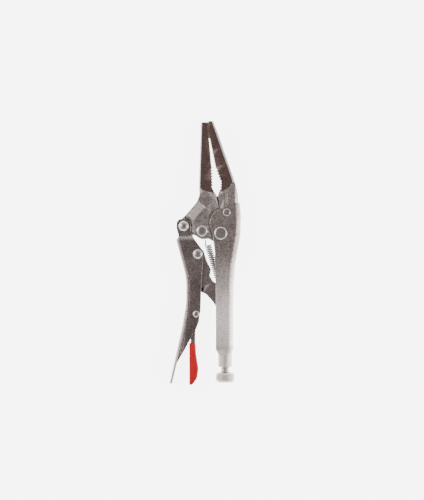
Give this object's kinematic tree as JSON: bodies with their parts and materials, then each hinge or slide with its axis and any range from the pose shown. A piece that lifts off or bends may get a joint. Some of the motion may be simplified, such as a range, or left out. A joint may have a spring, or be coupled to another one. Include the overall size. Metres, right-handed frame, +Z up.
{
  "type": "locking pliers",
  "caption": "Long-nose locking pliers with toothed jaws, pressed channel handles, toggle link, return spring, knurled adjusting screw and a red sleeve on the release lever",
  "frame": {"origin": "on the axis of the main pivot, on the flat of the lower head of its rivet, which lies on the bench", "axes": "+Y toward the jaw tips, +X toward the back of the fixed handle, +Z up away from the bench; the tool lies on its side and every pivot is parallel to Z"},
  "size_m": [0.0615, 0.227, 0.016],
  "materials": {
    "plated_sheet": "satin nickel plate, faint pinkish tint",
    "forged_jaw": "forged and ground steel, nickel plated",
    "link_steel": "plated steel plate with sheared edges",
    "rivet_steel": "turned rivet heads",
    "screw_steel": "bright plated thread and knurl",
    "spring_wire": "bright spring wire",
    "red_plastic": "red dipped plastic sleeve"
  },
  "bodies": {
    "frame": {"fixed_handle": "plated_sheet", "fixed_jaw": "forged_jaw", "main_pivot_rivet": "rivet_steel", "jaw_anchor_rivet": "rivet_steel"},
    "jaw": {"movable_jaw": "forged_jaw", "spring_rivet": "rivet_steel", "spring": "spring_wire"},
    "lever": {"lever_handle": "plated_sheet", "lever_rivet": "rivet_steel", "toggle_rivet": "rivet_steel", "release_lever_rivet": "rivet_steel"},
    "toggle": {"toggle_link": "link_steel"},
    "release": {"release_lever": "link_steel", "release_lever_grip": "red_plastic"},
    "screw_travel_body": {"screw_nose": "screw_steel"},
    "screw": {"adjusting_screw": "screw_steel"}
  },
  "joints": [
    {"name": "jaw_pivot", "type": "hinge", "parent": "frame", "child": "jaw", "pos_m": [0, 0, 0.008], "axis": [0, 0, 1], "range_deg": [0, 16], "deforming": ["spring"]},
    {"name": "lever_pivot", "type": "hinge", "parent": "jaw", "child": "lever", "pos_m": [-0.03166, 0.00614, 0.008], "axis": [0, 0, 1], "range_deg": [-54.2, 0]},
    {"name": "toggle_pivot", "type": "hinge", "parent": "lever", "child": "toggle", "pos_m": [-0.0196, -0.0178, 0.008], "axis": [0, 0, 1], "range_deg": [0, 58.3]},
    {"name": "release_pivot", "type": "hinge", "parent": "lever", "child": "release", "pos_m": [-0.021, -0.0693, 0.008], "axis": [0, 0, 1], "range_deg": [-10, 0]},
    {"name": "screw_travel", "type": "slide", "parent": "frame", "child": "screw_travel_body", "axis": [0, 1, 0], "range_m": [-0.005, 0]},
    {"name": "screw_turn", "type": "hinge", "parent": "screw_travel_body", "child": "screw", "pos_m": [0.0038, -0.1, 0.008], "axis": [0, 1, 0], "range_deg": [-1440.1, 0]}
  ],
  "couplings": [
    {"joint": "jaw_pivot", "follows": "lever_pivot", "ratio": -0.295},
    {"joint": "toggle_pivot", "follows": "lever_pivot", "ratio": -1.074},
    {"joint": "screw_turn", "follows": "screw_travel", "rad_per_m": 5026.5}
  ]
}
